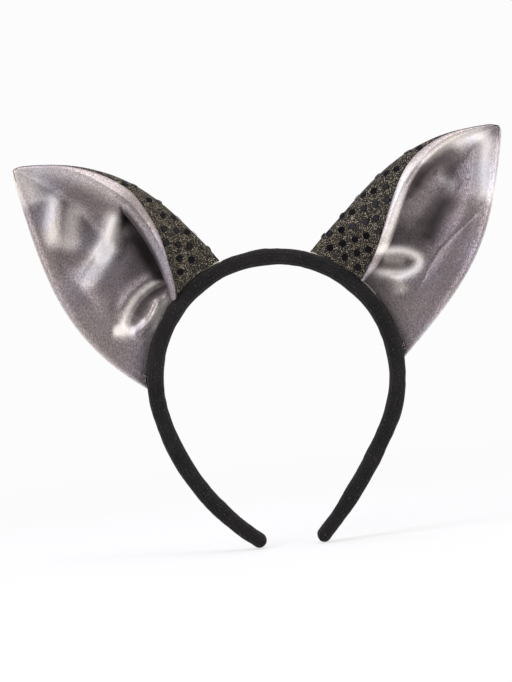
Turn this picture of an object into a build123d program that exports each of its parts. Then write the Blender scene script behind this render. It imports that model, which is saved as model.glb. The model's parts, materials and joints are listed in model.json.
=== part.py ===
from build123d import *

# Animal-ears headband: a padded, fabric-covered spring band that carries two cupped, sequinned ears.
#
# Millimetres. The origin is on the axis of the arch that grips the head. +Z is up, -Y is the front
# (the satin side), and +X is to the right as seen from the front. Angles round the arch are measured
# from the top (+Z) towards +X, in degrees.

import math
import os

import numpy as np

# Band: an arch that hands over to two gently bent legs. The strip has taken a set: the left leg is rounder.
ARCH_RADIUS = 61.0  # to the inner face, which is what touches the head
# Each leg: the angle where the arch ends, the radius of the leg's bend to its inner face, and its sweep
LEG_SHAPES = {"left": (102.0, 120.0, 40.5), "right": (118.0, 250.0, 15.6)}
BAND_WIDTH = 11.0  # front to back
BAND_DEPTH = 8.5  # inner face to outer face
BAND_CORNER = 3.0
SLEEVE_WALL = 0.8
CORE_WIDTH = 7.5
CORE_DEPTH = 2.2
CORE_CORNER = 0.8
CORE_INSET = 2.2  # from the band's inner face to the plastic strip
LAYER_GAP = 0.05
OUTER_RADIUS = ARCH_RADIUS + BAND_DEPTH

# Flexing of the band: the crown piece and each leg meet at a plane, with the pivot at the outer face
HINGE_ANGLE = 11.0
HINGE_GAP = 0.3
HALF_GAP_ANGLE = math.degrees(HINGE_GAP / 2 / OUTER_RADIUS)

# Where an ear's base lies on the arch
BASE_OUTER_ANGLES = {"left": 89.0, "right": 86.0}  # low outer corner
BASE_FOLD_ANGLE = 21.0  # fold nearest the crown
BASE_FRONT_ANGLE = 48.0  # front corner, where the folded flap ends
BASE_RADIUS = 70.3  # of the base line, just above the band's outer face
BASE_BACK_Y = 3.2
BASE_FRONT_Y = -4.4
EAR_START = 0.022  # share of the ear's length where its layers start, above the glue
EAR_TIP = 0.975  # share of its length where they end

# Layers of an ear, measured from the middle of the stack
SATIN_WALL = 0.35
KNIT_WALL = 0.6
RIM_SPACE = 1.2  # between the two panels at the sewn edge
BODY_SPACE = 2.6  # between the two panels where the foam is
RIM_WIDTH = 5.0  # over which the one grows into the other
FOAM_INSET = 5.5  # of the foam, wire and thread from the sewn edge
FOAM_CLEARANCE = 0.3
FOAM_TIP = 0.83  # shares of the ear's length where the foam, wire and thread end
WIRE_RADIUS = 0.5
WIRE_INSET = 3.2
WIRE_TIP = 0.86
THREAD_RADIUS = 0.28
THREAD_INSET = 1.1
THREAD_TIP = 0.945
TUBE_START = EAR_START + 0.01
TUBE_POINTS = 10
TIP_RISE = 0.025  # of a tube's turn across the tip, past its two ends

# Sequins
SEQUIN_RADIUS = 1.9
SEQUIN_THICKNESS = 0.15
SEQUIN_PITCH = 6.9  # along a row
SEQUIN_ROW_PITCH = 7.6
SEQUIN_GAP = 0.3  # from the knit

# Glue line and hand stitches that hold an ear on the band
GLUE_WIDTH = 1.4
GLUE_HEIGHT = 0.65
GLUE_Y = 2.3
TACK_RADIUS = 1.35
TACK_THREAD = 0.22
TACK_SINK = 0.3
BACK_TACK_ANGLES = (28.0, 42.0, 56.0, 70.0, 84.0)
FRONT_TACK_ANGLES = (27.0, 36.0, 45.0)

# Front-view outline of each ear as it stands at +X: control points (x, z) of cubic curves, base to tip.
# The first point of each curve is worked out from the base angles above.
EAR_OUTLINES = {
    "left": {
        "outer": ((117.3, 34.5), (119.2, 74.6), (131.4, 122.6)),
        "fold": ((57.3, 105.2), (69.7, 122.9), (128.4, 126.4)),
        "front": ((55.2, 83.2), (74.0, 121.6), (129.0, 125.4)),
    },
    "right": {
        "outer": ((114.4, 48.0), (121.9, 63.6), (133.2, 120.4)),
        "fold": ((66.5, 101.1), (73.2, 119.5), (130.4, 124.6)),
        "front": ((79.4, 71.2), (66.6, 116.0), (131.0, 123.6)),
    },
}
# Depth (y) of the same curves: control values at the base, lower, upper and tip points
OUTER_DEPTH = (0.5, -9.0, -11.0, -6.0)
FOLD_DEPTH = (0.0, 4.0, 0.0, -6.0)
FRONT_DEPTH = (BASE_FRONT_Y, -27.0, -14.0, -6.6)
# Depth controls of the cupped back, and the reach of the round fold behind and in front of its ridge, at
# base, middle and tip
BELLY_DEPTH = (BASE_BACK_Y, 12.0, -5.6)
FOLD_REACH = (4.2, 20.0, 0.8)
BELLY_SHARE = 0.4  # how far across the back the belly's depth control sits
FLAP_SHARE = 0.35  # how far from the front edge the flap's second control sits

# Fineness of the ear's surfaces
GRID_ACROSS = 27
GRID_ALONG = 13
RUN_STEPS = 41
NORMAL_STEP = 0.004
NEAR_FOLD = 0.2  # inset layers come at least this near to the fold, in q


def bezier(points, t):
    """Point, or row of points, at t on the Bezier curve with these control points or control numbers."""
    n = len(points) - 1
    t = np.asarray(t, float)
    total = 0.0
    for i, control in enumerate(points):
        weight = math.comb(n, i) * (1 - t) ** (n - i) * t**i
        total = total + np.multiply.outer(weight, np.asarray(control, float))
    return total


def on_arch(angle, radius, y=0.0):
    """Point at an angle from the top of the arch."""
    a = math.radians(angle)
    return np.array([radius * math.sin(a), y, radius * math.cos(a)])


# ---------------------------------------------------------------- band


def on_side(shape, side):
    """A shape drawn at +X, put on its own side."""
    return mirror(shape, about=Plane.YZ) if side == "left" else shape


def at_angle(shape, angle):
    """A section drawn at the top of the arch, carried round to an angle."""
    return Rot(0, angle, 0) * shape


def section_plane(radius):
    """Plane across the band at its top: local x runs front to back, local y runs outwards."""
    return Plane(origin=(0, 0, radius), x_dir=(0, 1, 0), z_dir=(1, 0, 0))


def band_section(inset):
    """Rounded section of the band, shrunk by inset on every side."""
    middle = ARCH_RADIUS + BAND_DEPTH / 2
    outline = RectangleRounded(BAND_WIDTH - 2 * inset, BAND_DEPTH - 2 * inset, BAND_CORNER - inset)
    return section_plane(middle) * outline


def core_section(grow):
    """Section of the plastic strip, grown by grow on every side."""
    middle = ARCH_RADIUS + CORE_INSET + CORE_DEPTH / 2
    outline = RectangleRounded(CORE_WIDTH + 2 * grow, CORE_DEPTH + 2 * grow, CORE_CORNER)
    return section_plane(middle) * outline


def sleeve_section():
    return band_section(0) - band_section(SLEEVE_WALL)


def padding_section():
    return band_section(SLEEVE_WALL + LAYER_GAP) - core_section(LAYER_GAP)


def leg_centre(leg_angle, leg_radius):
    """Centre of the leg's bend."""
    return -on_arch(leg_angle, leg_radius - ARCH_RADIUS)


def crown_piece(section):
    half = HINGE_ANGLE - HALF_GAP_ANGLE
    return revolve(at_angle(section, -half), axis=Axis.Y, revolution_arc=2 * half)


def leg_piece(shape, section, tip_section=None):
    """Leg at +X with this shape and section, and a round tip if a tip section is given."""
    leg_angle, leg_radius, sweep = shape
    start = HINGE_ANGLE + HALF_GAP_ANGLE
    arch = revolve(at_angle(section, start), axis=Axis.Y, revolution_arc=leg_angle - start)
    bend = leg_centre(leg_angle, leg_radius)
    leg = revolve(at_angle(section, leg_angle), axis=Axis(tuple(bend), (0, 1, 0)), revolution_arc=sweep)
    whole = arch + leg
    if tip_section is not None:
        middle = ARCH_RADIUS + BAND_DEPTH / 2
        end_angle = leg_angle + sweep
        end = bend + on_arch(end_angle, leg_radius + BAND_DEPTH / 2)
        outer_half = section_plane(middle) * (Pos(0, BAND_DEPTH / 2) * Rectangle(2 * BAND_WIDTH, BAND_DEPTH))
        half = at_angle(tip_section & outer_half, end_angle)
        moved = Pos(*(end - on_arch(end_angle, middle))) * half
        whole = whole + revolve(moved, axis=Axis(tuple(end), (0, 1, 0)), revolution_arc=180)
    return whole


def band_parts():
    """Crown and leg pieces of the strip, its padding and its sleeve, keyed by node name."""
    core = core_section(0)
    padding = padding_section()
    sleeve = sleeve_section()
    parts = {
        "crown_core": crown_piece(core),
        "crown_padding": crown_piece(padding),
        "crown_sleeve": crown_piece(sleeve),
    }
    for side, shape in LEG_SHAPES.items():
        legs = {
            "core": leg_piece(shape, core),
            "padding": leg_piece(shape, padding, band_section(SLEEVE_WALL + LAYER_GAP)),
            "sleeve": leg_piece(shape, sleeve, sleeve),
        }
        for name, leg in legs.items():
            parts[f"{side}_leg_{name}"] = on_side(leg, side)
    return parts


# ---------------------------------------------------------------- ear sheet


class EarSheet:
    """Middle surface of an ear standing at +X.

    A point is named by (q, v): q runs from 0 at the outer edge, through 1 at the fold, to 2 at the front
    edge of the flap, and v is the share of the way from base to tip.
    """

    def __init__(self, side):
        outline = EAR_OUTLINES[side]
        self.outer_angle = BASE_OUTER_ANGLES[side]
        starts = {
            "outer": on_arch(self.outer_angle, BASE_RADIUS),
            "fold": on_arch(BASE_FOLD_ANGLE, BASE_RADIUS),
            "front": on_arch(BASE_FRONT_ANGLE, BASE_RADIUS),
        }
        depths = {"outer": OUTER_DEPTH, "fold": FOLD_DEPTH, "front": FRONT_DEPTH}
        self.edges = {}
        for name, start in starts.items():
            flat = [(start[0], start[2]), *outline[name]]
            self.edges[name] = [(x, y, z) for (x, z), y in zip(flat, depths[name])]

    def base_bulge(self, first, last, share, v):
        """How far the base line stands out from its chord, fading along the ear."""
        round_line = on_arch(first + (last - first) * share, BASE_RADIUS)
        chord = on_arch(first, BASE_RADIUS) * (1 - share) + on_arch(last, BASE_RADIUS) * share
        return (round_line - chord) * (1 - v) ** 2

    def point(self, q, v):
        fold = bezier(self.edges["fold"], v)
        reach = np.array([0, bezier(FOLD_REACH, v), 0])
        if q <= 1:
            outer = bezier(self.edges["outer"], v)
            belly = outer + (fold - outer) * BELLY_SHARE
            belly[1] = bezier(BELLY_DEPTH, v)
            share = bezier((0, BELLY_SHARE, 1, 1), q)
            bulge = self.base_bulge(self.outer_angle, BASE_FOLD_ANGLE, share, v)
            return bezier((outer, belly, fold + reach, fold), q) + bulge
        front = bezier(self.edges["front"], v)
        near_front = front + (fold - front) * FLAP_SHARE
        share = bezier((0, 0, 1 - FLAP_SHARE, 1), q - 1)
        bulge = self.base_bulge(BASE_FOLD_ANGLE, BASE_FRONT_ANGLE, share, v)
        return bezier((fold, fold - reach, near_front, front), q - 1) + bulge

    def normal(self, q, v):
        """Unit normal that points out of the satin face."""
        across = self.point(min(q + NORMAL_STEP, 2), v) - self.point(max(q - NORMAL_STEP, 0), v)
        along = self.point(q, min(v + NORMAL_STEP, 1)) - self.point(q, max(v - NORMAL_STEP, 0))
        n = np.cross(along, across)
        return n / np.linalg.norm(n)

    def run(self, v):
        """Distance across the ear at v from the outer edge to each of a close row of q values."""
        steps = np.linspace(0, 2, RUN_STEPS)
        points = np.array([self.point(q, v) for q in steps])
        lengths = np.linalg.norm(np.diff(points, axis=0), axis=1)
        return steps, np.r_[0, np.cumsum(lengths)]

    def length(self):
        return np.linalg.norm(bezier(self.edges["outer"], 1) - bezier(self.edges["outer"], 0))

    def rim_distance(self, q, v):
        """Distance from the nearest sewn edge, or from the glued base."""
        middle = self.point(q, v)
        outer = np.linalg.norm(middle - self.point(0, v))
        front = np.linalg.norm(middle - self.point(2, v))
        return min(outer, front, v * self.length(), (1 - v) * self.length())

    def space(self, q, v):
        """Room between the two panels: little at the sewn rim, more where the foam is."""
        t = min(self.rim_distance(q, v) / RIM_WIDTH, 1.0)
        return RIM_SPACE + (BODY_SPACE - RIM_SPACE) * t * t * (3 - 2 * t)

    def lifted(self, q, v, height):
        """Point at a height above the middle surface, on the satin side."""
        return Vector(*(self.point(q, v) + self.normal(q, v) * height))


def closed_patch(low, high):
    """Closed solid between two grids of points with the same rows and columns."""
    faces = [Face.make_surface_from_array_of_points(low), Face.make_surface_from_array_of_points(high)]
    rims = []
    for edge in faces[0].edges():
        partner = min(faces[1].edges(), key=lambda e: (e @ 0.5 - edge @ 0.5).length)
        if (edge @ 0 - partner @ 0).length > (edge @ 0 - partner @ 1).length:
            partner = Edge(partner.wrapped.Reversed())
        rims.append(Face.make_surface_from_curves(edge, partner))
    solid = Solid(Shell([*faces, *rims]))
    return solid.fix() if solid.is_valid else solid


def across_values(sheet, v, inset):
    """Values of q over the ear at v, close together round the fold, that start and end inside the rim."""
    steps, run = sheet.run(v)
    first = min(np.interp(inset, run, steps), 1 - NEAR_FOLD)
    last = max(np.interp(run[-1] - inset, run, steps), 1 + NEAR_FOLD)
    return np.interp(np.linspace(0, 2, GRID_ACROSS), (0, 1, 2), (first, 1, last))


def sheet_layer(sheet, low, high, inset=0.0, tip=EAR_TIP):
    """Layer of an ear between two heights, each a function of (q, v), set in from the sewn edges."""
    start = EAR_START + inset / sheet.length()
    grids = []
    for height in (low, high):
        grid = []
        for v in np.linspace(start, tip, GRID_ALONG):
            grid.append([sheet.lifted(q, v, height(q, v)) for q in across_values(sheet, v, inset)])
        grids.append(grid)
    return closed_patch(*grids)


def rim_tube(sheet, inset, radius, tip):
    """Round tube that runs up the outer edge, across the tip and down the front edge, inside the rim."""
    up = []
    down = []
    for v in np.linspace(TUBE_START, tip, TUBE_POINTS):
        q = across_values(sheet, v, inset)
        up.append(sheet.lifted(q[0], v, 0))
        down.append(sheet.lifted(q[-1], v, 0))
    legs = [Spline(*up), Spline(*down)]
    turn = [sheet.lifted(q, tip + TIP_RISE, 0) for q in (0.5, 1.0, 1.5)]
    over = Spline(up[-1], *turn, down[-1], tangents=(legs[0] % 1, -(legs[1] % 1)))
    path = Wire([legs[0], over, legs[1]])
    start = Plane(origin=legs[0] @ 0, z_dir=legs[0] % 0)
    return sweep(start * Circle(radius), path=path)


def sequins(sheet):
    """Discs in rows over the knit face, each flat to the fabric under it."""
    discs = []
    rows = int(sheet.length() / SEQUIN_ROW_PITCH)
    edge_room = WIRE_INSET + SEQUIN_RADIUS
    for row in range(1, rows):
        v = EAR_START + row / rows * (1 - EAR_START)
        steps, run = sheet.run(v)
        count = int((run[-1] - 2 * edge_room) / SEQUIN_PITCH) + 1
        first = (run[-1] - (count - 1) * SEQUIN_PITCH) / 2
        for column in range(count):
            q = np.interp(first + column * SEQUIN_PITCH, run, steps)
            height = -(sheet.space(q, v) / 2 + KNIT_WALL + SEQUIN_GAP)
            place = Plane(origin=sheet.lifted(q, v, height), z_dir=tuple(-sheet.normal(q, v)))
            discs.append(place * extrude(Circle(SEQUIN_RADIUS), SEQUIN_THICKNESS))
    return Compound(children=[s for d in discs for s in d.solids()])


# ---------------------------------------------------------------- fixing to the band


def glue_run(y, first, last, width=GLUE_WIDTH):
    """Bead of glue along the outer face of the band."""
    plane = section_plane(OUTER_RADIUS + LAYER_GAP + GLUE_HEIGHT / 2)
    bead = plane * (Pos(y, 0) * Rectangle(width, GLUE_HEIGHT))
    return revolve(at_angle(bead, first), axis=Axis.Y, revolution_arc=last - first)


def ear_glue(outer_angle):
    """J-shaped line of glue under the base: a long run behind, a turn at the fold, a short run in front."""
    turn = math.degrees(GLUE_WIDTH / OUTER_RADIUS)
    back = glue_run(GLUE_Y, BASE_FOLD_ANGLE, outer_angle)
    front = glue_run(-GLUE_Y, BASE_FOLD_ANGLE, BASE_FRONT_ANGLE)
    across = glue_run(0, BASE_FOLD_ANGLE, BASE_FOLD_ANGLE + turn, 2 * GLUE_Y + GLUE_WIDTH)
    return back + front + across


def ear_tacks():
    """Loops of thread sewn over the glued hem, with their feet in the sleeve."""
    loops = []
    places = [(a, GLUE_Y) for a in BACK_TACK_ANGLES] + [(a, -GLUE_Y) for a in FRONT_TACK_ANGLES]
    for angle, y in places:
        foot = section_plane(OUTER_RADIUS - TACK_SINK)
        ring = Pos(0, y, 0) * Rot(0, 90, 0) * Torus(TACK_RADIUS + TACK_SINK, TACK_THREAD)
        upper = Pos(0, y, BAND_WIDTH / 2) * Box(BAND_WIDTH, BAND_WIDTH, BAND_WIDTH)
        loop = Pos(*foot.origin) * (ring & upper)
        loops.append(at_angle(loop, angle))
    return Compound(children=[s for loop in loops for s in loop.solids()])


def ear_parts(sheet):
    """Every piece of one ear, as it stands at +X, keyed by the end of its node name."""

    def half_space(q, v):
        return sheet.space(q, v) / 2

    return {
        "satin_panel": sheet_layer(sheet, half_space, lambda q, v: half_space(q, v) + SATIN_WALL),
        "foam_insert": sheet_layer(
            sheet,
            lambda q, v: FOAM_CLEARANCE - half_space(q, v),
            lambda q, v: half_space(q, v) - FOAM_CLEARANCE,
            FOAM_INSET,
            FOAM_TIP,
        ),
        "knit_panel": sheet_layer(
            sheet,
            lambda q, v: -half_space(q, v) - KNIT_WALL,
            lambda q, v: -half_space(q, v),
        ),
        "sequins": sequins(sheet),
        "edge_wire": rim_tube(sheet, WIRE_INSET, WIRE_RADIUS, WIRE_TIP),
        "seam_thread": rim_tube(sheet, THREAD_INSET, THREAD_RADIUS, THREAD_TIP),
        "glue_line": ear_glue(sheet.outer_angle),
        "tack_stitches": ear_tacks(),
    }


def main():
    os.makedirs("parts", exist_ok=True)
    parts = band_parts()
    for side in EAR_OUTLINES:
        for name, shape in ear_parts(EarSheet(side)).items():
            parts[f"{side}_ear_{name}"] = on_side(shape, side)
    for name, shape in parts.items():
        export_step(shape, f"parts/{name}.step")


main()
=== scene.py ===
import json
import math

import bpy
import numpy as np
from mathutils import Matrix, Vector

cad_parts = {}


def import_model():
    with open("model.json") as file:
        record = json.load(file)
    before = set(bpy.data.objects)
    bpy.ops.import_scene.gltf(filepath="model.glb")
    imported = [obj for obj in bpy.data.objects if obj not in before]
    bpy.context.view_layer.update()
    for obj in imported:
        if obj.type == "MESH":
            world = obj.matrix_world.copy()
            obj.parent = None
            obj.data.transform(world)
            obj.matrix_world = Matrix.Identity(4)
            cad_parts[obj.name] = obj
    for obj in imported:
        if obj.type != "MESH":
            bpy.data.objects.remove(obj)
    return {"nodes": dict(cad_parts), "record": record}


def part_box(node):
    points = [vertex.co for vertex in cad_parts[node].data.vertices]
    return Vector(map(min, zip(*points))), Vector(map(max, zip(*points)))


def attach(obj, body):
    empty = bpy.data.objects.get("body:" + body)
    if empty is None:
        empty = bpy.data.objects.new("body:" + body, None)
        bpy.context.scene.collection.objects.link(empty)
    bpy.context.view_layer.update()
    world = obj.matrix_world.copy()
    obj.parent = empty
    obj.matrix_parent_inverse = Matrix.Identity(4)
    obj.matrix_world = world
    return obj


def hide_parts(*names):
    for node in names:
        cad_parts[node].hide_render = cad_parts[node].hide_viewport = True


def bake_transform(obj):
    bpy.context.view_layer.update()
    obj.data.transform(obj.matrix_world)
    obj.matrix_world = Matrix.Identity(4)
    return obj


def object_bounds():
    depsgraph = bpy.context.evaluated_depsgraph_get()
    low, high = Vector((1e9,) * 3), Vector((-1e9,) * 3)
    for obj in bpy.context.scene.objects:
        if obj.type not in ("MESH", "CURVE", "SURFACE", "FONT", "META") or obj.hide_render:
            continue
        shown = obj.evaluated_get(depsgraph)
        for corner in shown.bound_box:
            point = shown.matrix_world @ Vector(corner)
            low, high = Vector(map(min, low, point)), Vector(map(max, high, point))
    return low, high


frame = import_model()
cad_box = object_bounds()

# Shapes are worked out in millimetres and stored in metres.
MM = 0.001
SIDES = {"left": -1.0, "right": 1.0}
RNG = np.random.default_rng(7)

# Band: sizes from the frame, the radius of its section's corners, how deep the wadding lies, and the least
# that the sleeve's face stands off it
ARCH_RADIUS = frame["record"]["mounts"][0]["dims"]["r_mm"]
SLEEVE_LOW, SLEEVE_HIGH = (np.array(corner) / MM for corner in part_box("crown_sleeve"))
OUTER_RADIUS = SLEEVE_HIGH[2]
BAND_WIDTH = SLEEVE_HIGH[1] - SLEEVE_LOW[1]
BAND_DEPTH = OUTER_RADIUS - ARCH_RADIUS
BAND_CORNER = 3.0
WADDING_DEPTH = OUTER_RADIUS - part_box("crown_padding")[1].z / MM
WADDING_ROOM = 0.12
# Each leg: the angle where the arch ends, the radius of the leg's bend to its inner face, and its sweep
LEG_SHAPES = {"left": (102.0, 120.0, 40.5), "right": (118.0, 250.0, 15.6)}
# The legs grow thinner towards their tips, over this run
TIP_TAPER = 0.12
TAPER_RUN = 45.0
# Knit ribs round the section and lumps of the gathered sleeve: (size, seed, rise) of each noise
RIB_COUNT = 20
RIB_RISE = 0.17
SLEEVE_LUMPS = ((11.0, 3.0, 0.34), (3.6, 8.0, 0.20))
# Points along each half of the band, round its section and round its tip
BAND_STEPS = 420
BAND_SIDES = 84
TIP_STEPS = 16
# Angles from the top of the arch where the sleeve would bend as a leg is sprung open; band_piece turns them
# into points and leaves them unused
SLEEVE_BEND = (2.0, 20.0)

# Ears: the base lines lie on the arch, in degrees from its top. Outlines are control points of cubic curves,
# from the base to the tip, as shares (across, up) of the box of the ear's knit panel, outwards and upwards.
BASE_ANGLES = {
    "left": {"outer": 89.5, "fold": 21.0, "front": 48.0},
    "right": {"outer": 86.5, "fold": 21.0, "front": 48.0},
}
BASE_RADIUS = OUTER_RADIUS + 0.35
OUTLINES = {
    "left": {
        "outer": ((0.870, 0.251), (0.888, 0.574), (1.004, 0.960)),
        "fold": ((0.298, 0.820), (0.416, 0.962), (0.976, 0.991)),
        "front": ((0.278, 0.643), (0.457, 0.952), (0.981, 0.982)),
    },
    "right": {
        "outer": ((0.826, 0.342), (0.897, 0.474), (1.003, 0.956)),
        "fold": ((0.374, 0.792), (0.438, 0.948), (0.977, 0.991)),
        "front": ((0.496, 0.539), (0.375, 0.918), (0.983, 0.983)),
    },
}
# Depths of the same curves, as shares of the box from front to back, base to tip
DEPTHS = {
    "outer": (0.680, 0.326, 0.251, 0.438),
    "fold": (0.661, 0.810, 0.661, 0.438),
    "front": (0.497, -0.345, 0.139, 0.415),
}
BELLY_DEPTH = (0.780, 1.108, 0.452)
# How far the curve reaches from front to back where it turns over at the fold, base to tip
FOLD_REACH = (4.2, 20.0, 0.8)
# Where the back panel's belly and the flap's middle lie, as shares of the way from the edges to the fold
BELLY_SHARE = 0.4
FLAP_SHARE = 0.35

# Where the satin's seam lies on the folded flap: share of the way from the front edge to the ridge, as seen
# from the front, at shares of the ear's length. The satin between them is a soft roll.
SEAM_SHARES = {
    "left": ((0.0, 0.10), (0.15, 0.13), (0.25, 0.29), (0.38, 0.45), (0.50, 0.66), (0.65, 0.74), (1.0, 0.80)),
    "right": (
        (0.0, 0.07), (0.15, 0.12), (0.30, 0.21), (0.45, 0.33),
        (0.55, 0.50), (0.65, 0.66), (0.80, 0.78), (1.0, 0.80),
    ),
}
# The seam lies at most this far past the ridge, in mm and as a share of the fold's reach, and at most this
# share of the flap's width from the front edge
SEAM_PAST_RIDGE = (6.0, 0.3)
SEAM_LIMIT = 0.9
# How far the satin is wrapped round the outer edge to the back
OUTER_WRAP = 1.5

# Satin over the foam: the height of its padded body above the middle surface, the least height, the height of
# the roll along the flap's edge and that roll's width
BODY_HEIGHT = 3.4
LEAST_HEIGHT = 0.8
ROLL_HEIGHT = 1.9
ROLL_WIDTH = 4.2
# Where the ear is thin, the body is at most this share of the fold's reach
BODY_SHARE = 0.30
KNIT_HEIGHT = 1.5
# Rise of the padding from the outer edge: this share of it within the first run, the rest over the second
EDGE_SHARE = 0.5
EDGE_RUNS = (1.5, 18.0)
# Runs over which the padding closes at the tip and at the front edge
TIP_RUN = 4.0
FRONT_RUN = 2.4
# The ear's sheet narrows at the tip with this radius, and ends just short of a point
TIP_ROUND = 3.2
TIP_BLUNT = 0.15
# Drape and puckers of the cloth: (size, seed, rise) of each noise
DRAPE = ((15.0, 5.0, 0.5), (6.0, 2.0, 0.14))
PUCKERS = ((3.4, 11.0, 0.16),)
# Foam insert: its faces above and below the middle surface, and its distance from the sides, base and tip
FOAM_FRONT = 0.2
FOAM_BACK = 0.5
FOAM_INSET = 6.0
FOAM_TIP_GAP = 24.0
# Rim wire and seam thread: distance from the edge, gap at the tip and radius
RIM_WIRE = (3.2, 14.0, 0.5)
SEAM_THREAD = (1.6, 8.0, 0.2)


def ridge(*path, rise=(0.0, 1.0), painted_light=(0.0, 1.0)):
    """Soft fold that stands up from the satin along a path, or lies below it, with light or shade painted
    along it.
    """
    return "ridge", path, rise, painted_light


def slope(*path, rise=(0.0, 1.0), painted_light=(0.0, 1.0)):
    """Line along which the satin steps up to the right-hand side of a path, or down, with light or shade
    painted along it.
    """
    return "slope", path, rise, painted_light


# Soft folds in the satin bowl. Paths are in shares of the knit panel's box, outwards and upwards. A rise and
# a painted light each have their amount and their half width in mm. Painted light runs from -1, painted
# shade in the cloth's colour, to 1, a painted highlight.
LEFT_FOLDS = (
    # Two soft ridges by the outer edge, with a valley between them
    ridge((0.785, 0.89), (0.816, 0.792), (0.834, 0.706), (0.82, 0.6), rise=(1.0, 4.8), painted_light=(0.85, 4.4)),
    ridge((0.73, 0.87), (0.768, 0.766), (0.78, 0.65), rise=(-0.8, 4.5), painted_light=(-0.12, 3.5)),
    ridge((0.683, 0.82), (0.729, 0.719), (0.74, 0.58), rise=(0.9, 5.0), painted_light=(0.55, 5.5)),
    # Broad diagonal fold, from the notch down to the outer edge, with a fine crease below it
    slope(
        (0.449, 0.734), (0.506, 0.663), (0.558, 0.602), (0.639, 0.516), (0.732, 0.436),
        rise=(-1.8, 6.5), painted_light=(0.2, 5.5),
    ),
    ridge((0.47, 0.765), (0.52, 0.69), (0.562, 0.615), (0.63, 0.535), painted_light=(0.95, 5.0)),
    ridge((0.52, 0.64), (0.6, 0.545), (0.74, 0.425), painted_light=(0.55, 5.5)),
    ridge((0.52, 0.68), (0.623, 0.56), (0.745, 0.43), rise=(-0.3, 0.9), painted_light=(-0.18, 1.2)),
    # Hollow below the notch, under the lip, in painted shade
    ridge((0.422, 0.8), (0.365, 0.65), (0.3, 0.54), (0.25, 0.44), rise=(-2.0, 5.5), painted_light=(-0.9, 5.5)),
    ridge((0.375, 0.73), (0.297, 0.575), (0.245, 0.43), painted_light=(-0.6, 3.6)),
    ridge((0.466, 0.6), (0.412, 0.455), painted_light=(-0.3, 5.5)),
    ridge((0.45, 0.79), (0.415, 0.68), (0.37, 0.58), (0.31, 0.47), painted_light=(-0.75, 4.0)),
    # Curl of cloth at the notch
    ridge(
        (0.47, 0.7), (0.462, 0.732), (0.446, 0.758), (0.411, 0.763), (0.35, 0.735),
        rise=(1.2, 1.6), painted_light=(0.55, 1.6),
    ),
    # Eye-shaped fold above the band: its upper and lower lids with painted highlights, and painted shade
    # between them
    slope((0.25, 0.44), (0.341, 0.42), (0.417, 0.377), (0.468, 0.327), (0.52, 0.262), rise=(-2.0, 3.6)),
    ridge(
        (0.24, 0.44), (0.341, 0.424), (0.417, 0.38), (0.47, 0.327), (0.52, 0.262), (0.57, 0.225),
        rise=(0.5, 2.0), painted_light=(0.9, 2.3),
    ),
    slope((0.326, 0.39), (0.369, 0.308), (0.424, 0.258), (0.5, 0.22), rise=(1.6, 2.8), painted_light=(0.85, 2.0)),
    ridge((0.58, 0.246), (0.51, 0.234), (0.44, 0.24), rise=(0.4, 3.5), painted_light=(0.9, 3.4)),
    ridge((0.37, 0.39), (0.41, 0.34), (0.445, 0.295), rise=(-1.0, 2.4), painted_light=(-0.6, 2.6)),
    ridge((0.245, 0.425), (0.31, 0.405), (0.384, 0.37), rise=(-1.0, 1.8), painted_light=(-0.95, 2.2)),
    # Fold beside the band with a painted highlight, and a fine painted dark line in it
    ridge((0.245, 0.395), (0.322, 0.304), (0.37, 0.2), rise=(1.0, 3.0), painted_light=(0.62, 2.8)),
    ridge((0.335, 0.36), (0.397, 0.267), rise=(-0.6, 1.2), painted_light=(-0.55, 1.4)),
    # Painted light at the tip, and a soft painted light below the lip
    ridge((1.06, 1.06), (0.93, 0.9), (0.89, 0.8), painted_light=(0.62, 9.0)),
    ridge((0.92, 0.965), (0.847, 0.95), (0.657, 0.915), (0.509, 0.85), (0.4, 0.78), painted_light=(0.3, 5.0)),
)
RIGHT_FOLDS = (
    # Painted bright bands under the lip, from the tip to the base
    ridge((0.99, 0.96), (0.844, 0.935), (0.739, 0.91), (0.633, 0.862), (0.535, 0.815), painted_light=(0.95, 4.2)),
    ridge(
        (0.633, 0.867), (0.52, 0.82), (0.46, 0.745), (0.42, 0.64), (0.366, 0.535), (0.315, 0.43),
        painted_light=(0.72, 3.0),
    ),
    # Step, and a painted bright band along the outer edge
    slope((0.953, 0.93), (0.916, 0.83), (0.904, 0.716), (0.879, 0.604), rise=(1.2, 5.0)),
    ridge((0.955, 0.975), (0.908, 0.843), (0.893, 0.729), (0.875, 0.6), painted_light=(0.9, 5.4)),
    # Valley under the lip in painted shade, a painted pale spot and the painted dark middle of the bowl
    ridge((0.8, 0.88), (0.681, 0.84), (0.58, 0.78), (0.52, 0.69), rise=(-2.2, 5.0), painted_light=(-0.95, 4.8)),
    ridge((0.64, 0.8), (0.69, 0.765), (0.765, 0.715), rise=(0.8, 3.4), painted_light=(0.45, 3.8)),
    ridge((0.745, 0.7), (0.67, 0.625), (0.61, 0.545), (0.56, 0.47), rise=(-1.4, 8.0), painted_light=(-0.85, 7.5)),
    # Ring above the band with a painted bright highlight, its painted pale middle and the painted glow below
    # it
    ridge(
        (0.2, 0.455), (0.3, 0.462), (0.428, 0.464), (0.502, 0.437), (0.528, 0.4),
        (0.488, 0.362), (0.405, 0.356), (0.3, 0.378), (0.2, 0.4),
        rise=(0.9, 2.8), painted_light=(1.0, 3.1),
    ),
    ridge((0.34, 0.425), (0.405, 0.412), (0.47, 0.402), rise=(-0.4, 2.4), painted_light=(0.5, 2.4)),
    ridge((0.41, 0.36), (0.414, 0.325), (0.423, 0.255), rise=(0.7, 4.0), painted_light=(0.5, 4.2)),
    # Fine diagonal crease, and the soft painted shade of the outer half
    ridge((0.887, 0.627), (0.637, 0.443), (0.488, 0.249), rise=(-0.3, 0.9), painted_light=(-0.16, 1.2)),
    ridge((0.86, 0.62), (0.76, 0.4), (0.6, 0.16), painted_light=(-0.22, 11.0)),
)
FOLDS = {"left": LEFT_FOLDS, "right": RIGHT_FOLDS}
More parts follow.
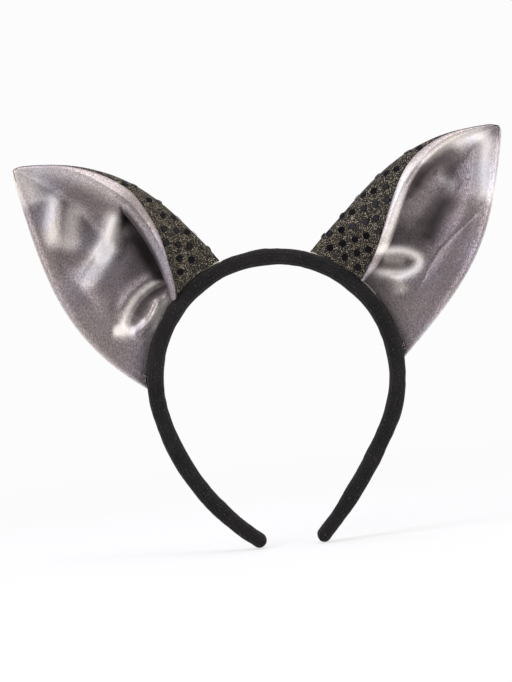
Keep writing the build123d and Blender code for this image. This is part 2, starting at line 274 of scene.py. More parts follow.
# Above the notch the satin leaves the fold behind it and is stretched straight from the bowl to the flap's
# edge: shares of the ear's length where that starts and where it is full, and how far it goes
STRETCHES = {"left": (0.488, 0.54, 1.0), "right": (0.20, 0.62, 0.9)}
# The stretched part begins at this share of the way from the outer edge to the fold, and there it also starts
# lower on the ear than at the flap's edge, by a share of the ear's length
STRETCH_FROM = 0.52
STRETCH_LEAN = 0.14
# Direction in which it meets the flap's edge: along the way there as seen from the front, and front to back
STRETCH_TURN = {"left": (0.90, -0.44), "right": (0.70, -0.71)}
# Painted highlight along the outer rim and on the satin that's folded over the flap
RIM_PAINTED_LIGHT = 0.55
LIP_PAINTED_LIGHT = {"left": 0.08, "right": 0.1}
# The ends of a fold fade out over this share of its path
FOLD_FADE = 0.22

# Rows from base to tip and columns across of the ear's middle surface, and columns of each cloth
ROWS = 150
COLUMNS = 190
SATIN_COLUMNS = 230
KNIT_COLUMNS = 190
CLOTH_THICKNESS = 0.3

# Sequins: their rows lie at a slope across the ear, and one in each row is near a column at this distance
# from the headband's centre plane
SEQUIN_RADIUS = 1.9
SEQUIN_PITCH = 6.9
SEQUIN_ROW_PITCH = 7.4
SEQUIN_ROW_SLOPE = 0.22
SEQUIN_COLUMN = {"left": 46.0, "right": 61.4}
SEQUIN_FIRST_ROW = -30.0
SEQUIN_SEAM_ROOM = 2.7
SEQUIN_OUTER_ROOM = 6.0
SEQUIN_BASE_ROOM = 3.7
SEQUIN_TIP_ROOM = 5.4
SEQUIN_LIFT = 0.3
# Section of a sequin from its underside's rim to its hole: shares of the radius and heights
SEQUIN_RINGS = ((1.0, -0.10), (1.0, 0.02), (0.86, 0.09), (0.45, 0.03), (0.12, 0.0))
SEQUIN_SIDES = 18
# A few sequins hang loose and tilt more than the rest
LOOSE_SHARE = 0.07
LOOSE_TILT = 0.35
SEWN_TILT = 0.05

# Frayed threads at the two ends of the satin's base: places along it, count at each, length and radius
FRAY_PLACES = (0.9, 0.06)
FRAY_COUNT = 7
FRAY_LENGTH = 4.6
FRAY_RADIUS = 0.11


def bezier(points, t):
    """Points at t on the Bezier curve with these control points or control numbers."""
    n = len(points) - 1
    t = np.asarray(t, float)
    total = 0.0
    for i, control in enumerate(points):
        weight = math.comb(n, i) * (1 - t) ** (n - i) * t**i
        total = total + np.multiply.outer(weight, np.asarray(control, float))
    return total


def on_arch(angle, radius, y=0.0):
    a = np.radians(angle)
    return np.stack(np.broadcast_arrays(radius * np.sin(a), y, radius * np.cos(a)), axis=-1)


def smooth(t):
    t = np.clip(t, 0, 1)
    return t * t * (3 - 2 * t)


def unit(v):
    return v / np.maximum(np.linalg.norm(v, axis=-1, keepdims=True), 1e-9)


def crowded(count, share):
    """Numbers from 0 to 1 that lie closer together towards both ends, the more so the larger the share."""
    u = np.linspace(0, 1, count)
    return (1 - share) * u + share * (0.5 - 0.5 * np.cos(math.pi * u))


def run_along(line):
    """Distance of each point of a line from its first one, along the line."""
    return np.r_[0, np.cumsum(np.linalg.norm(np.diff(line, axis=0), axis=1))]


def run_across(grid):
    """Distance of each point of a grid from the first one in its row, along the row."""
    return np.cumsum(np.linalg.norm(np.diff(grid, axis=1, prepend=grid[:, :1]), axis=2), axis=1)


def at_runs(places, run, values, period=None):
    """Values at places along a run, between the rows of values that are known along it."""
    return np.stack([np.interp(places, run, column, period=period) for column in values.T], axis=-1)


def value_noise(points, scale, seed=0.0):
    """Smooth noise from -1 to 1 at every point of an array, with features about `scale` mm across."""
    at = points / scale + seed
    cell = np.floor(at)
    share = smooth(at - cell)
    total = np.zeros(points.shape[:-1])
    for corner in np.ndindex(2, 2, 2):
        mixed = np.sin((cell + corner) @ (127.1, 311.7, 74.7)) * 43758.5453
        weight = np.prod(np.where(corner, share, 1 - share), axis=-1)
        total += weight * (2 * (mixed - np.floor(mixed)) - 1)
    return total


def layered_noise(points, layers):
    """Sum of noises, each given as its size, seed and rise."""
    return sum(value_noise(points, size, seed) * rise for size, seed, rise in layers)


# ---------------------------------------------------------------- meshes


def mesh_object(name, points, faces, material, smooth_faces=True):
    """New object from points in mm and faces as rows of point numbers."""
    mesh = bpy.data.meshes.new(name)
    corners = [tuple(point) for point in np.asarray(points) * MM]
    mesh.from_pydata(corners, [], [tuple(int(i) for i in face) for face in faces])
    mesh.update()
    mesh.validate()
    mesh.materials.append(material)
    if smooth_faces:
        mesh.polygons.foreach_set("use_smooth", [True] * len(mesh.polygons))
    obj = bpy.data.objects.new(name, mesh)
    bpy.context.scene.collection.objects.link(obj)
    return obj


def grid_faces(rows, columns, wrap=False, first=0):
    """Quads over a grid of points numbered row by row."""
    r, c = np.meshgrid(np.arange(rows - 1), np.arange(columns if wrap else columns - 1), indexing="ij")
    low = r.ravel() * columns
    high = low + columns
    c = c.ravel()
    d = (c + 1) % columns
    return (first + np.stack([low + c, low + d, high + d, high + c], 1)).tolist()


def capped_faces(rows, sides):
    """Faces of a closed tube of round rows, whose two end points come after its rows."""
    faces = grid_faces(rows, sides, wrap=True)
    last = rows * sides
    for c in range(sides):
        d = (c + 1) % sides
        faces.append((d, c, last))
        faces.append((last - sides + c, last - sides + d, last + 1))
    return faces


# ---------------------------------------------------------------- materials


class Nodes:
    """Short way to write a node tree."""

    def __init__(self, tree):
        self.tree = tree
        self.tree.nodes.clear()

    def add(self, kind, inputs=None, **settings):
        node = self.tree.nodes.new(kind)
        for key, value in settings.items():
            setattr(node, key, value)
        for key, value in (inputs or {}).items():
            self.put(node.inputs[key], value)
        return node

    def put(self, socket, value):
        if isinstance(value, bpy.types.NodeSocket):
            self.tree.links.new(value, socket)
        else:
            socket.default_value = value

    def math(self, operation, a, b=0.0, clamp=False):
        return self.add("ShaderNodeMath", {0: a, 1: b}, operation=operation, use_clamp=clamp).outputs[0]

    def ramp(self, factor, stops):
        node = self.add("ShaderNodeValToRGB", {"Fac": factor})
        elements = node.color_ramp.elements
        while len(elements) < len(stops):
            elements.new(0.5)
        for element, (position, colour) in zip(elements, stops):
            element.position = position
            element.color = (*colour, 1.0)
        return node.outputs["Color"]

    def mix(self, factor, a, b):
        node = self.add("ShaderNodeMix", data_type="RGBA")
        self.put(node.inputs["Factor"], factor)
        for socket, value in ((node.inputs[6], a), (node.inputs[7], b)):
            self.put(socket, (*value, 1.0) if isinstance(value, tuple) else value)
        return node.outputs[2]


class Material(Nodes):
    """Procedural material of one principled shader."""

    def __init__(self, name):
        self.material = bpy.data.materials.new(name)
        self.material.use_nodes = True
        super().__init__(self.material.node_tree)
        self.out = self.add("ShaderNodeOutputMaterial")
        self.shader = self.add("ShaderNodeBsdfPrincipled")
        self.tree.links.new(self.shader.outputs[0], self.out.inputs[0])
        self.place = self.add("ShaderNodeTexCoord").outputs["Object"]

    def set(self, **inputs):
        for key, value in inputs.items():
            self.put(self.shader.inputs[key.replace("_", " ")], value)

    def noise(self, scale, detail=2.0, vector=None, roughness=0.5):
        values = {"Vector": vector or self.place, "Scale": scale, "Detail": detail, "Roughness": roughness}
        return self.add("ShaderNodeTexNoise", values).outputs["Fac"]

    def stretched(self, x, y, z):
        return self.add("ShaderNodeMapping", {"Vector": self.place, "Scale": (x, y, z)}).outputs[0]

    def bump(self, height, distance, strength):
        values = {"Height": height, "Distance": distance, "Strength": strength}
        return self.add("ShaderNodeBump", values).outputs[0]


def satin_material():
    """Satin: a fine grain and drifting tints, with light and shade painted from values its mesh carries,
    painted shade in recesses, and a painted glow on the highlights.
    """
    n = Material("satin")
    grain = n.noise(1500.0, 2.0, n.stretched(1.0, 1.0, 0.6), 0.7)
    specks = n.add("ShaderNodeMapRange", {"Value": grain, "From Min": 0.34, "From Max": 0.66}).outputs[0]
    drift = n.noise(38.0, 2.0)
    tints = [(0.3, (0.40, 0.345, 0.335)), (0.55, (0.44, 0.38, 0.395)), (0.75, (0.42, 0.385, 0.45))]
    colour = n.ramp(drift, tints)
    # Painted light and shade from the values on the mesh: a cream or lilac painted highlight colour, and a
    # near-black painted shade
    painted_light = n.add("ShaderNodeAttribute", attribute_name="painted_light").outputs["Fac"]
    painted_lit = n.math("MAXIMUM", painted_light, 0.0)
    painted_shaded = n.math("MAXIMUM", n.math("MULTIPLY", painted_light, -1.0), 0.0)
    painted_highlight_colour = n.ramp(drift, [(0.42, (1.0, 0.93, 0.86)), (0.68, (0.90, 0.88, 0.97))])
    colour = n.mix(painted_shaded, n.mix(painted_lit, colour, painted_highlight_colour), (0.060, 0.050, 0.050))
    # The grain shows less where a highlight is painted
    weave = n.math("MULTIPLY", specks, n.math("SUBTRACT", 0.85, n.math("MULTIPLY", painted_lit, 0.60)))
    colour = n.mix(weave, colour, (0.13, 0.105, 0.11))
    # Painted shade in recesses: ambient occlusion darkens the colour, except where a highlight is painted
    recess_occlusion = n.add("ShaderNodeAmbientOcclusion", {"Distance": 0.03}, samples=6)
    painted_recess_shade = n.math("MAXIMUM", n.math("POWER", recess_occlusion.outputs["AO"], 1.6), n.math("MULTIPLY", painted_lit, 0.95))
    colour = n.mix(painted_recess_shade, (0.055, 0.045, 0.045), colour)
    # Less metallic where a highlight is painted, so that it takes more of the lamps' light
    n.set(Base_Color=colour, Metallic=n.math("SUBTRACT", 0.8, n.math("MULTIPLY", painted_lit, 0.5)))
    # Painted glow: the painted highlights emit light of their own
    n.set(Emission_Color=painted_highlight_colour, Emission_Strength=n.math("MULTIPLY", n.math("POWER", painted_lit, 2.0), 0.17))
    n.set(Roughness=n.math("ADD", n.math("MULTIPLY", specks, 0.12), 0.36))
    n.set(Anisotropic=0.3, Sheen_Weight=0.05, Sheen_Roughness=0.4)
    n.set(Normal=n.bump(grain, 0.00025, 0.6))
    return n.material


def knit_material():
    """Black knit with round gold flecks, thicker in some places than in others."""
    n = Material("glitter_knit")
    loops = n.add("ShaderNodeTexVoronoi", {"Vector": n.place, "Scale": 2600.0})
    pick = n.add("ShaderNodeSeparateColor", {"Color": loops.outputs["Color"]})
    round_fleck = n.math("LESS_THAN", loops.outputs["Distance"], 0.42)
    limit = n.math("SUBTRACT", 0.87, n.math("MULTIPLY", n.noise(220.0, 2.0), 0.45))
    glitter = n.math("MULTIPLY", round_fleck, n.math("GREATER_THAN", pick.outputs["Red"], limit))
    golds = [(0.0, (0.17, 0.145, 0.10)), (0.7, (0.52, 0.45, 0.31)), (1.0, (1.0, 0.93, 0.78))]
    gold = n.ramp(pick.outputs["Green"], golds)
    ground = n.ramp(n.noise(1100.0, 3.0), [(0.3, (0.010, 0.009, 0.008)), (0.7, (0.036, 0.031, 0.026))])
    n.set(Base_Color=n.mix(glitter, ground, gold), Metallic=n.math("MULTIPLY", glitter, 0.5))
    n.set(Roughness=n.math("SUBTRACT", 0.9, n.math("MULTIPLY", glitter, 0.3)), Specular_IOR_Level=0.2)
    n.set(Normal=n.bump(n.noise(1800.0, 2.0), 0.00008, 0.5))
    return n.material


def sleeve_material():
    """Black rib knit with a fine fuzz and a little pale lint."""
    n = Material("sleeve_knit")
    fuzz = n.noise(2400.0, 3.0)
    patches = n.noise(90.0, 3.0)
    colour = n.ramp(patches, [(0.35, (0.0050, 0.0048, 0.0054)), (0.7, (0.0120, 0.0108, 0.0108))])
    fuzzy = n.ramp(fuzz, [(0.45, (0.0, 0.0, 0.0)), (0.75, (0.7, 0.7, 0.7))])
    colour = n.mix(fuzzy, colour, (0.028, 0.024, 0.024))
    lint = n.math("GREATER_THAN", n.noise(1500.0, 1.0), 0.715)
    colour = n.mix(n.math("MULTIPLY", lint, 0.6), colour, (0.16, 0.16, 0.17))
    n.set(Base_Color=colour, Roughness=0.9, Sheen_Weight=0.10, Sheen_Roughness=0.5, Specular_IOR_Level=0.2)
    n.set(Normal=n.bump(fuzz, 0.0005, 0.8))
    return n.material


def sequin_material():
    """Black foil, slightly uneven."""
    n = Material("sequin_foil")
    tint = n.noise(70.0, 1.0)
    colour = n.ramp(tint, [(0.35, (0.004, 0.004, 0.005)), (0.7, (0.010, 0.009, 0.013))])
    n.set(Base_Color=colour, Roughness=0.10, Specular_IOR_Level=0.05, Coat_Weight=0.02, Coat_Roughness=0.06)
    n.set(Normal=n.bump(n.noise(700.0, 1.0), 0.0001, 0.35))
    return n.material


def plain_material(name, colour, roughness, metallic=0.0, grain=900.0):
    """Small hidden parts: a moulded, foamed or drawn surface with a fine grain."""
    n = Material(name)
    texture = n.noise(grain, 3.0)
    darker = tuple(c * 0.75 for c in colour)
    n.set(Base_Color=n.mix(texture, darker, colour), Roughness=roughness, Metallic=metallic)
    n.set(Normal=n.bump(texture, 0.0001, 0.5))
    return n.material


SATIN = satin_material()
KNIT = knit_material()
SLEEVE = sleeve_material()
SEQUIN = sequin_material()
THREAD = plain_material("thread", (0.03, 0.03, 0.03), 0.7, grain=4000.0)
FRAY = plain_material("frayed_thread", (0.62, 0.58, 0.62), 0.6, grain=4000.0)
FOAM = plain_material("foam", (0.78, 0.77, 0.72), 0.9)
WIRE = plain_material("wire", (0.6, 0.6, 0.62), 0.3, 1.0)
GLUE = plain_material("glue", (0.65, 0.6, 0.5), 0.35, grain=300.0)
CORE = plain_material("core", (0.04, 0.04, 0.045), 0.4, grain=300.0)
PADDING = plain_material("padding", (0.13, 0.13, 0.14), 0.95, grain=1500.0)
NODE_MATERIALS = {
    "core": CORE, "padding": PADDING, "sleeve": SLEEVE, "satin": SATIN, "knit": KNIT, "sequins": SEQUIN,
    "foam": FOAM, "wire": WIRE, "thread": THREAD, "stitches": THREAD, "glue": GLUE,
}


# ---------------------------------------------------------------- ear


def base_bulge(first, last, share, v):
    """Offset that rounds a straight base line onto the arch, and fades out up the ear."""
    round_line = on_arch(first + (last - first) * share, BASE_RADIUS)
    chord = np.outer(1 - share, on_arch(first, BASE_RADIUS)) + np.outer(share, on_arch(last, BASE_RADIUS))
    return (round_line - chord) * (1 - v) ** 2


class Ear:
    """Middle surface of an ear as a grid, worked out as it stands at +X, then mirrored for the left side."""

    def __init__(self, side):
        self.side = side
        self.sign = SIDES[side]
        low, high = (np.array(corner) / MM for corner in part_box(f"{side}_ear_knit_panel"))
        if side == "left":
            low[0], high[0] = -high[0], -low[0]
        self.low, self.size = low, high - low
        self.edges = {}
        self.angles = BASE_ANGLES[side]
        for name, angle in self.angles.items():
            depths = [self.depth(share) for share in DEPTHS[name]]
            points = [on_arch(angle, BASE_RADIUS, depths[0])]
            for (across, up), y in zip(OUTLINES[side][name], depths[1:]):
                x, z = self.front_view((across, up))
                points.append(np.array((x, y, z)))
            self.edges[name] = points
        self.length = np.linalg.norm(self.edges["outer"][-1] - self.edges["outer"][0])
        self.v = crowded(ROWS, 0.55)
        self.build()

    def depth(self, share):
        return self.low[1] + share * self.size[1]

    def front_view(self, shares):
        """(x, z) of a place given as shares of the ear's box."""
        return self.low[0] + shares[0] * self.size[0], self.low[2] + shares[1] * self.size[2]

    def section(self, v, steps=161):
        """Points across the ear at v, from the outer edge to the fold and on to the front edge."""
        fold = bezier(self.edges["fold"], v)
        outer = bezier(self.edges["outer"], v)
        front = bezier(self.edges["front"], v)
        reach = np.array([0, bezier(FOLD_REACH, v), 0])
        belly = outer + (fold - outer) * BELLY_SHARE
        belly[1] = bezier([self.depth(share) for share in BELLY_DEPTH], v)
        near_front = front + (fold - front) * FLAP_SHARE
        t = np.linspace(0, 1, steps)
        share = bezier((0, BELLY_SHARE, 1, 1), t)
        back = bezier((outer, belly, fold + reach, fold), t)
        back = back + base_bulge(self.angles["outer"], self.angles["fold"], share, v)
        share = bezier((0, 0, 1 - FLAP_SHARE, 1), t)
        flap = bezier((fold, fold - reach, near_front, front), t)
        flap = flap + base_bulge(self.angles["fold"], self.angles["front"], share, v)
        return np.concatenate([back, flap[1:]])

    def build(self):
        """Fill the grid, and the distance of each point from the ear's edges, base and tip."""
        share = crowded(COLUMNS, 0.6)
        self.points = np.zeros((ROWS, COLUMNS, 3))
        self.across = np.zeros((ROWS, COLUMNS))
        self.width = np.zeros((ROWS, 1))
        self.fold_at = np.zeros((ROWS, 1))
        for i, v in enumerate(self.v):
            line = self.section(v)
            run = run_along(line)
            middle = (line[0] + line[-1]) / 2
            narrowing = closing((1 - v) * self.length + TIP_BLUNT, TIP_ROUND)
            self.across[i] = share * run[-1]
            self.points[i] = middle + narrowing * (at_runs(self.across[i], run, line) - middle)
            self.width[i] = run[-1]
            self.fold_at[i] = run[len(line) // 2]
        self.normal = outwards_of(self.points)
        self.from_front = self.width - self.across
        self.from_tip = np.broadcast_to(((1 - self.v) * self.length)[:, None], self.across.shape)
        self.from_base = np.broadcast_to((self.v * self.length)[:, None], self.across.shape)
        self.edge = np.minimum(np.minimum(self.across, self.from_front), self.from_tip + 0.6)
        self.room = bezier(FOLD_REACH, self.v)[:, None]

    def point_at(self, row, across):
        """Point on the middle surface at a distance across a row."""
        return at_runs(across, self.across[row], self.points[row])


def outwards_of(grid):
    """Unit normals of a grid whose rows run up the ear and whose columns run across its satin face."""
    return unit(np.cross(np.gradient(grid, axis=0), np.gradient(grid, axis=1)))


def closing(distance, radius):
    """Round-off of a padded edge: 0 at the edge and 1 from radius inwards."""
    t = np.clip(distance / radius, 0, 1)
    return np.sqrt(1 - (1 - t) ** 2)


def bump_line(distance, half_width):
    return np.exp(-((distance / half_width) ** 2))


def step_line(distance, half_width):
    """Rises from -1 to 1 across a line and fades away from it."""
    t = distance / half_width
    return t * np.exp(0.5 - 0.5 * t * t)


def path_distance(points, path):
    """Signed distance of each (x, z) point from a smooth path, more than 0 on its right-hand side, and the
    share of the way along it."""
    path = np.array(path, float)
    ends = np.concatenate([[2 * path[0] - path[1]], path, [2 * path[-1] - path[-2]]])
    line = []
    for a, b, c, d in zip(ends, ends[1:], ends[2:], ends[3:]):
        for t in np.linspace(0, 1, 7)[:-1]:
            bend = (2 * a - 5 * b + 4 * c - d) * t**2 + (3 * b - a - 3 * c + d) * t**3
            line.append(0.5 * (2 * b + (c - a) * t + bend))
    line = np.array(line + [path[-1]])
    best = np.full(points.shape[:-1], 1e9)
    signed = np.zeros(points.shape[:-1])
    share = np.zeros(points.shape[:-1])
    for i, (a, b) in enumerate(zip(line, line[1:])):
        step = b - a
        t = np.clip(((points - a) @ step) / (step @ step), 0, 1)
        offset = points - a - t[..., None] * step
        distance = np.linalg.norm(offset, axis=-1)
        nearer = distance < best
        best = np.where(nearer, distance, best)
        right = offset @ np.array((step[1], -step[0]))
        signed = np.where(nearer, np.sign(right) * distance, signed)
        share = np.where(nearer, (i + t) / (len(line) - 1), share)
    return signed, share


def folds_over(ear, points):
    """Rise of the soft folds, and the light and shade painted with them, at points of the satin."""
    flat = points[..., [0, 2]]
    rises = np.zeros(flat.shape[:-1])
    painted_light = np.zeros(flat.shape[:-1])
    for kind, path, (rise, half_width), (painted_light_amount, painted_light_width) in FOLDS[ear.side]:
        distance, share = path_distance(flat, [ear.front_view(p) for p in path])
        ends = smooth(np.minimum(share, 1 - share) / FOLD_FADE)
        shape = bump_line if kind == "ridge" else step_line
        rises += rise * shape(distance, half_width) * ends
        painted_light += painted_light_amount * bump_line(distance, painted_light_width) * ends
    return rises, np.clip(painted_light, -1, 1)


def dome(t):
    """Round roll: 0 at t = 0 and at t = 1, with its top between them."""
    t = np.clip(t, 0, 1)
    return np.sqrt(np.maximum(4 * t * (1 - t), 0))


def soft_floor(height, floor):
    """Height that never falls below a floor, with a smooth change where it meets it."""
    over = height - floor
    return floor + 0.5 * (over + np.sqrt(over**2 + 0.5))


def ear_heights(ear):
    """Heights of the satin above the middle surface and of the knit below it."""
    base = smooth(ear.from_base / 12)
    body = np.minimum(BODY_HEIGHT, BODY_SHARE * ear.room) * (0.35 + 0.65 * base)
    first, whole = EDGE_RUNS
    outer_rise = EDGE_SHARE * closing(ear.across, first) + (1 - EDGE_SHARE) * smooth(ear.across / whole)
    round_off = np.minimum(outer_rise, closing(ear.from_tip + 0.03, TIP_RUN))
    round_off = np.minimum(round_off, closing(ear.from_front, FRONT_RUN))
    rim = 0.25 * bump_line(ear.edge - 2.6, 2.0)
    puckers = layered_noise(ear.points, PUCKERS) * bump_line(ear.edge - 2.5, 4.0)
    drape = layered_noise(ear.points, DRAPE) * smooth((ear.edge - 3) / 8)
    roll = ROLL_HEIGHT * smooth(ear.room / 6) * dome(ear.from_front / ROLL_WIDTH)
    padding = round_off * (body + (rim + puckers) * base + drape)
    satin = round_off * soft_floor(padding, LEAST_HEIGHT) + roll
    knit = round_off * (KNIT_HEIGHT * smooth(ear.room / 8) + 0.2 * drape + 0.5 * puckers)
    return satin, knit


def seam_runs(ear, back):
    """Distance from the front edge, along the outer face of the flap, at which each row's seam lies."""
    shares = np.interp(ear.v, *zip(*SEAM_SHARES[ear.side]))
    runs = np.zeros(ROWS)
    for i in range(ROWS):
        past_ridge = min(SEAM_PAST_RIDGE[0], SEAM_PAST_RIDGE[1] * ear.room[i, 0])
        flap = back[i, ear.across[i] >= ear.fold_at[i] - past_ridge][::-1]
        seen = np.linalg.norm((flap - flap[0])[:, [0, 2]], axis=1)
        seen = np.maximum.accumulate(seen)
        runs[i] = np.interp(shares[i] * seen[-1], seen + 1e-6 * np.arange(len(seen)), run_along(flap))
    kernel = np.hanning(9) / np.hanning(9).sum()
    runs = np.convolve(np.pad(runs, 4, mode="edge"), kernel, mode="valid")
    return np.minimum(runs, SEAM_LIMIT * (ear.width - ear.fold_at)[:, 0])


def stretch_over(ear, front):
    """Satin that's stretched from the middle of the bowl to the flap's edge, over the fold behind it."""
    start, full, most = STRETCHES[ear.side]
    turn = STRETCH_TURN[ear.side]
    for i, v in enumerate(ear.v):
        first = np.searchsorted(ear.across[i], STRETCH_FROM * ear.fold_at[i, 0])
        low, high = front[i, first], front[i, -1]
        span = np.linalg.norm(high - low)
        leave = unit(front[i, first + 1] - front[i, first - 1]) * span
        seen = unit((high - low) * (1, 0, 1))
        arrive = (seen * turn[0] + np.array((0, turn[1], 0))) * span
        run = ear.across[i, first:] - ear.across[i, first]
        t = (run / run[-1])[:, None]
        line = (1 + 2 * t) * (1 - t) ** 2 * low + t * (1 - t) ** 2 * leave
        line = line + t**2 * (3 - 2 * t) * high - t**2 * (1 - t) * arrive
        amount = most * smooth((v - start + STRETCH_LEAN * (1 - t)) / (full - start))
        front[i, first:] += amount * (line - front[i, first:])


def ear_surfaces(ear):
    """Satin and knit surfaces as grids that meet along the seam on the flap and near the outer edge."""
    satin_height, knit_height = ear_heights(ear)
    front = ear.points + ear.normal * satin_height[..., None]
    stretch_over(ear, front)
    rises = folds_over(ear, front)[0]
    bowl = smooth((ear.edge - 3.0) / 5) * smooth(ear.from_base / 7)
    rises = soft_floor(rises, LEAST_HEIGHT - satin_height)
    front = front + outwards_of(front) * (rises * bowl)[..., None]
    back = ear.points - ear.normal * knit_height[..., None]
    seam_at = seam_runs(ear, back)
    fullness = 0.85 - 0.6 * smooth((ear.v - 0.45) / 0.2)[:, None]
    roll_share = ear.from_front / np.maximum(seam_at[:, None], 1.0)
    puff = fullness * ROLL_HEIGHT * smooth(ear.room / 6) * dome(roll_share)
    back = back - ear.normal * puff[..., None]
    satin = np.zeros((ROWS, SATIN_COLUMNS, 3))
    inside = np.zeros((ROWS, SATIN_COLUMNS))
    knit = np.zeros((ROWS, KNIT_COLUMNS, 3))
    for i in range(ROWS):
        loop = np.concatenate([front[i], back[i, -2:0:-1]])
        run = run_along(np.concatenate([loop, loop[:1]]))
        round_trip = run[-1]
        wrap = min(OUTER_WRAP, 0.1 * round_trip)
        columns_back = np.interp(seam_at[i], ear.from_front[i][::-1], np.arange(COLUMNS))
        seam = np.interp(COLUMNS - 1 + columns_back, np.arange(len(run)), run)
        for grid, first, last in ((satin, -wrap, seam), (knit, seam, round_trip - wrap)):
            at = np.linspace(first, last, grid.shape[1])
            if grid is satin:
                inside[i] = smooth((run[COLUMNS - 1] - at) / 3)
            grid[i] = at_runs(at, run[:-1], loop, round_trip)
    # Painted light and shade: the folds' values, a painted highlight along the outer rim and on the satin
    # folded over the flap, and no painted shade on that fold-over
    painted_light = folds_over(ear, satin)[1]
    rim_painted_light = RIM_PAINTED_LIGHT * bump_line(run_across(satin) - OUTER_WRAP, 2.0)
    painted_light = np.where(painted_light < 0, painted_light * inside, painted_light) + rim_painted_light
    painted_light = np.clip(painted_light + LIP_PAINTED_LIGHT[ear.side] * (1 - inside), -1, 1)
    for grid in (satin, knit):
        run = run_across(grid)
        to_seam = np.minimum(run, run[:, -1:] - run)
        grid -= outwards_of(grid) * (0.4 * bump_line(to_seam, 0.8))[..., None]
    return satin, knit, painted_light


def closed_sheet(name, grid, outwards, material):
    """Closed thin solid: a grid of surface points, its copy moved inwards, and the rims between them."""
    rows, columns = grid.shape[:2]
    inner = grid - outwards * CLOTH_THICKNESS
    points = np.concatenate([grid.reshape(-1, 3), inner.reshape(-1, 3)])
    total = rows * columns
    faces = grid_faces(rows, columns)
    faces += [f[::-1] for f in grid_faces(rows, columns, first=total)]
    number = np.arange(total).reshape(rows, columns)
    ring = [*number[0], *number[1:, -1], *number[-1, -2::-1], *number[-2:0:-1, 0]]
    for a, b in zip(ring, ring[1:] + ring[:1]):
        faces.append((b, a, a + total, b + total))
    middle = grid[rows // 2, columns // 2]
    over = grid[rows // 2, columns // 2 + 1] - middle
    along = grid[rows // 2 + 1, columns // 2] - middle
    if np.dot(np.cross(over, along), outwards[rows // 2, columns // 2]) < 0:
        faces = [f[::-1] for f in faces]
    return mesh_object(name, points, faces, material)


def tube(name, path, radius, material, sides=8):
    """Closed round tube along a path of points."""
    path = np.asarray(path, float)
    forward = unit(np.gradient(path, axis=0))
    across = unit(np.cross(forward, (0.0, 1.0, 0.001)))
    up = np.cross(across, forward)
    turn = np.linspace(0, 2 * math.pi, sides, endpoint=False)[None, :, None]
    grid = path[:, None] + radius * (np.cos(turn) * across[:, None] + np.sin(turn) * up[:, None])
    points = np.concatenate([grid.reshape(-1, 3), path[:1], path[-1:]])
    return mesh_object(name, points, capped_faces(len(path), sides), material)


def ear_foam(ear):
    """Foam insert: a closed pad between the satin and the knit, well inside the sewn edges."""
    loops = []
    for i in range(ROWS):
        if ear.from_base[i, 0] <= FOAM_INSET or ear.from_tip[i, 0] <= FOAM_TIP_GAP:
            continue
        at = np.linspace(FOAM_INSET, ear.width[i, 0] - FOAM_INSET, 60)
        middle = at_runs(at, ear.across[i], ear.points[i])
        out = at_runs(at, ear.across[i], ear.normal[i])
        loops.append(np.concatenate([middle + out * FOAM_FRONT, (middle - out * FOAM_BACK)[::-1]]))
    grid = np.array(loops[::3])
    rows, count = grid.shape[:2]
    faces = grid_faces(rows, count, wrap=True)
    last = (rows - 1) * count
    for c in range(count // 2 - 1):
        faces.append((c + 1, c, count - 1 - c, count - 2 - c))
        faces.append((last + c, last + c + 1, last + count - 2 - c, last + count - 1 - c))
    return mesh_object(f"{ear.side}_ear_foam", grid.reshape(-1, 3) * (ear.sign, 1, 1), faces, FOAM)


def rim_line(ear, inset, tip_gap):
    """Line on the middle surface up the outer edge, across the tip and down the front edge."""
    up, down = [], []
    last = max(i for i in range(ROWS) if ear.from_tip[i, 0] > tip_gap and ear.width[i, 0] > 3 * inset)
    for i in range(4, last):
        up.append(ear.point_at(i, inset))
        down.append(ear.point_at(i, ear.width[i, 0] - inset))
    over = [ear.point_at(last, at) for at in np.linspace(inset, ear.width[last, 0] - inset, 16)]
    return np.array(up + over + down[::-1]) * (ear.sign, 1, 1)


def sequin_places(ear, knit):
    """Places and outward directions of the sequins: level rows round the ear, in columns over the flap."""
    outwards = outwards_of(knit)
    level = knit[..., 2] - SEQUIN_ROW_SLOPE * knit[..., 0]
    rows = np.arange(ROWS)
    places = []
    for target in np.arange(SEQUIN_FIRST_ROW, level.max(), SEQUIN_ROW_PITCH):
        line = []
        for c in range(KNIT_COLUMNS):
            above = np.nonzero((level[:-1, c] < target) & (level[1:, c] >= target))[0]
            if len(above) == 0:
                continue
            r = above[0]
            share = (target - level[r, c]) / (level[r + 1, c] - level[r, c])
            point = knit[r, c] * (1 - share) + knit[r + 1, c] * share
            line.append((*point, *outwards[r, c], ear.from_base[r, 0], ear.from_tip[r, 0]))
        line = np.array(line)
        if len(line) < 8:
            continue
        run = run_along(line[:, :3])
        slope = min((line[6, 0] - line[0, 0]) / run[6], -0.4)
        first = (SEQUIN_COLUMN[ear.side] - line[0, 0]) / slope % SEQUIN_PITCH
        if first < SEQUIN_SEAM_ROOM:
            first += SEQUIN_PITCH
        for at in np.arange(first, run[-1] - SEQUIN_OUTER_ROOM, SEQUIN_PITCH):
            at += RNG.normal(0, 0.2)
            point, out, (above_base, below_tip) = np.split(at_runs(at, run, line), (3, 6))
            if above_base > SEQUIN_BASE_ROOM and below_tip > SEQUIN_TIP_ROOM:
                places.append((point, unit(out)))
    return places


